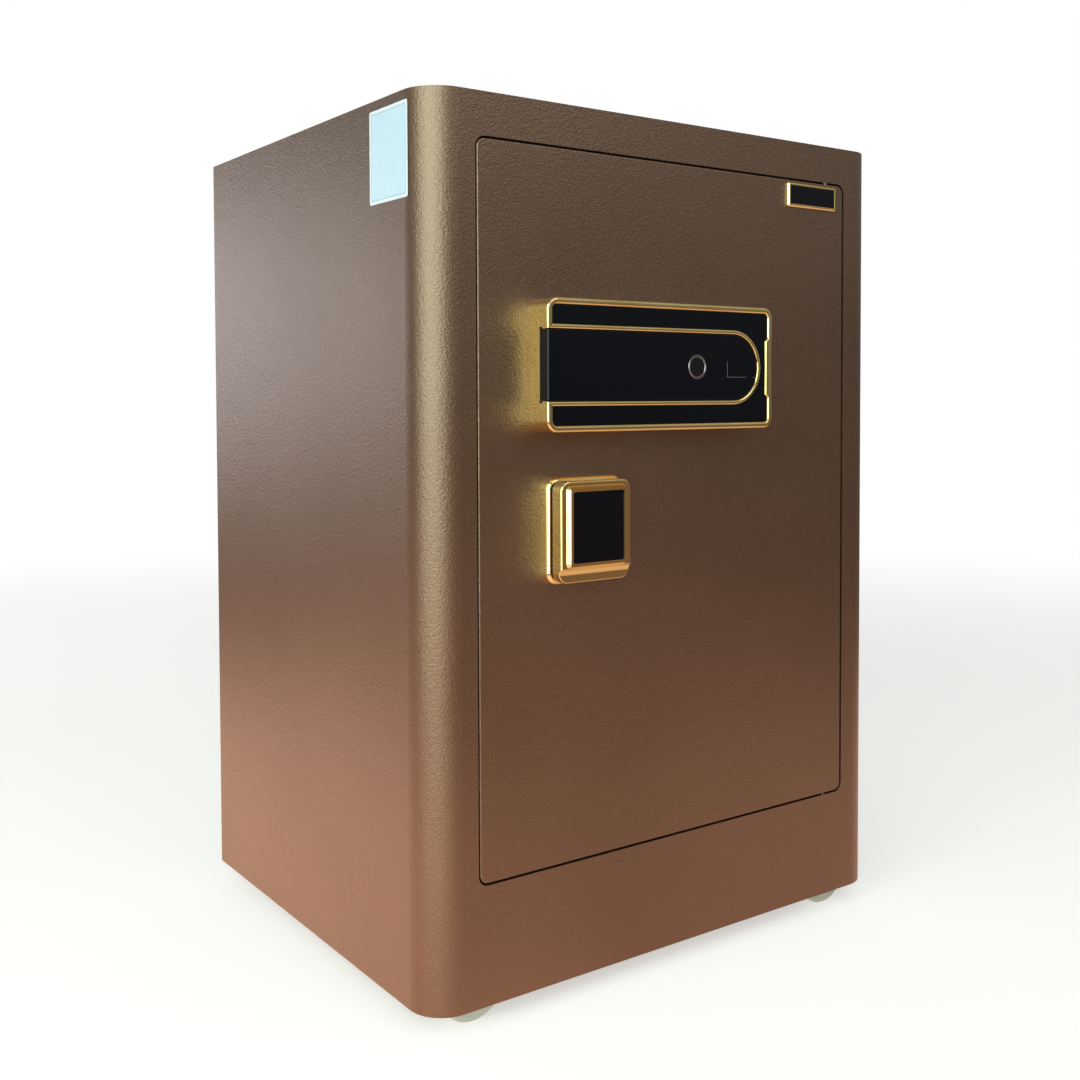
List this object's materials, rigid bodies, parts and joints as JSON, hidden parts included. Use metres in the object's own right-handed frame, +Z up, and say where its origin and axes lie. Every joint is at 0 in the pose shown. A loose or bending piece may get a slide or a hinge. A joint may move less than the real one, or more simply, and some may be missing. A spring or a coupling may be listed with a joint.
{
  "type": "home safe",
  "caption": "Upright steel home safe on hidden rollers, with a flush door, raised lock panel with slide cover, square turning knob, throwing boltwork and a shelf inside.",
  "frame": {"origin": "middle of the overall box on the floor, under the wheels", "axes": "+Z up, -Y out of the door, +X to the right seen from the front"},
  "size_m": [0.4152, 0.37, 0.6],
  "materials": {
    "bronze_coat": "coffee bronze textured powder coat",
    "liner_coat": "beige grey powder coat",
    "zinc_steel": "zinc plated",
    "bolt_chrome": "polished chrome plate",
    "gilt": "polished champagne gold plate",
    "black_gloss": "piano black",
    "black_plastic": "fine grain",
    "reader_steel": "dark satin",
    "reader_glass": "smoked",
    "wheel_nylon": "moulded nylon",
    "mat_felt": "needle felt",
    "label_paper": "satin film sticker, blank",
    "button_red": "moulded"
  },
  "bodies": {
    "safe_body": {"outer_shell": "bronze_coat", "top_panel": "bronze_coat", "back_panel": "bronze_coat", "floor_plate": "bronze_coat", "door_frame": "bronze_coat", "hinge_blocks": "zinc_steel", "hinge_pins": "zinc_steel", "liner": "liner_coat", "anchor_sleeves": "zinc_steel", "floor_mat": "mat_felt", "shelf": "liner_coat", "shelf_rails": "liner_coat", "shelf_screws": "zinc_steel", "caster_brackets": "zinc_steel", "caster_axles": "zinc_steel", "caster_screws": "zinc_steel", "side_label": "label_paper"},
    "door": {"door_plate": "bronze_coat", "door_pan": "liner_coat", "door_cover": "liner_coat", "cover_screws": "zinc_steel", "dead_bar": "zinc_steel", "nameplate_frame": "gilt", "nameplate_field": "black_gloss", "panel_bezel": "gilt", "panel_base": "black_plastic", "panel_glass": "black_gloss", "key_cylinder": "bolt_chrome", "key_nut": "zinc_steel", "knob_base": "gilt", "spindle_bush": "zinc_steel", "bolt_bushes": "black_plastic", "guide_studs": "zinc_steel", "lock_case": "black_plastic", "circuit_box": "black_plastic", "battery_box": "black_plastic", "batteries": "black_gloss", "battery_cover": "black_plastic", "reset_switch": "black_plastic"},
    "knob": {"knob_cap": "gilt", "knob_inlay": "black_gloss", "spindle": "zinc_steel", "crank": "zinc_steel"},
    "boltwork": {"bolt_carriage": "zinc_steel", "bolts": "bolt_chrome", "bolt_screws": "zinc_steel"},
    "cover": {"slide_cover": "black_gloss", "reader_ring": "reader_steel", "reader_pad": "reader_glass"},
    "key": {"key_plug": "bolt_chrome", "key_cam": "zinc_steel"},
    "blocker": {"lock_plunger": "bolt_chrome"},
    "button": {"reset_button": "button_red"},
    "roller_front_left": {"wheel_front_left": "wheel_nylon"},
    "roller_front_right": {"wheel_front_right": "wheel_nylon"},
    "roller_rear_left": {"wheel_rear_left": "wheel_nylon"},
    "roller_rear_right": {"wheel_rear_right": "wheel_nylon"}
  },
  "joints": [
    {"name": "door_swing", "type": "hinge", "parent": "safe_body", "child": "door", "pos_m": [0.1555, -0.1594, 0.333], "axis": [0, 0, 1], "range_deg": [0, 100]},
    {"name": "knob_turn", "type": "hinge", "parent": "door", "child": "knob", "pos_m": [-0.088, -0.165, 0.3192], "axis": [0, -1, 0], "range_deg": [0, 90]},
    {"name": "bolt_slide", "type": "slide", "parent": "door", "child": "boltwork", "axis": [-1, 0, 0], "range_m": [0, 0.02]},
    {"name": "cover_slide", "type": "slide", "parent": "door", "child": "cover", "axis": [-1, 0, 0], "range_m": [0, 0.045]},
    {"name": "key_turn", "type": "hinge", "parent": "door", "child": "key", "pos_m": [0.0365, -0.165, 0.428], "axis": [0, 1, 0], "range_deg": [0, 90]},
    {"name": "plunger_lift", "type": "slide", "parent": "door", "child": "blocker", "axis": [0, 0, 1], "range_m": [0, 0.008]},
    {"name": "reset_press", "type": "slide", "parent": "door", "child": "button", "axis": [0, -1, 0], "range_m": [0, 0.0015], "stiffness_N_per_m": 600, "springref_m": -0.001},
    {"name": "roller_spin_front_left", "type": "hinge", "parent": "safe_body", "child": "roller_front_left", "pos_m": [-0.1665, -0.141, 0.025], "axis": [0, 1, 0], "continuous": true},
    {"name": "roller_spin_front_right", "type": "hinge", "parent": "safe_body", "child": "roller_front_right", "pos_m": [0.1665, -0.141, 0.025], "axis": [0, 1, 0], "continuous": true},
    {"name": "roller_spin_rear_left", "type": "hinge", "parent": "safe_body", "child": "roller_rear_left", "pos_m": [-0.1665, 0.161, 0.025], "axis": [0, 1, 0], "continuous": true},
    {"name": "roller_spin_rear_right", "type": "hinge", "parent": "safe_body", "child": "roller_rear_right", "pos_m": [0.1665, 0.161, 0.025], "axis": [0, 1, 0], "continuous": true}
  ],
  "couplings": [
    {"joint": "bolt_slide", "follows": "knob_turn", "m_per_rad": 0.012732}
  ]
}
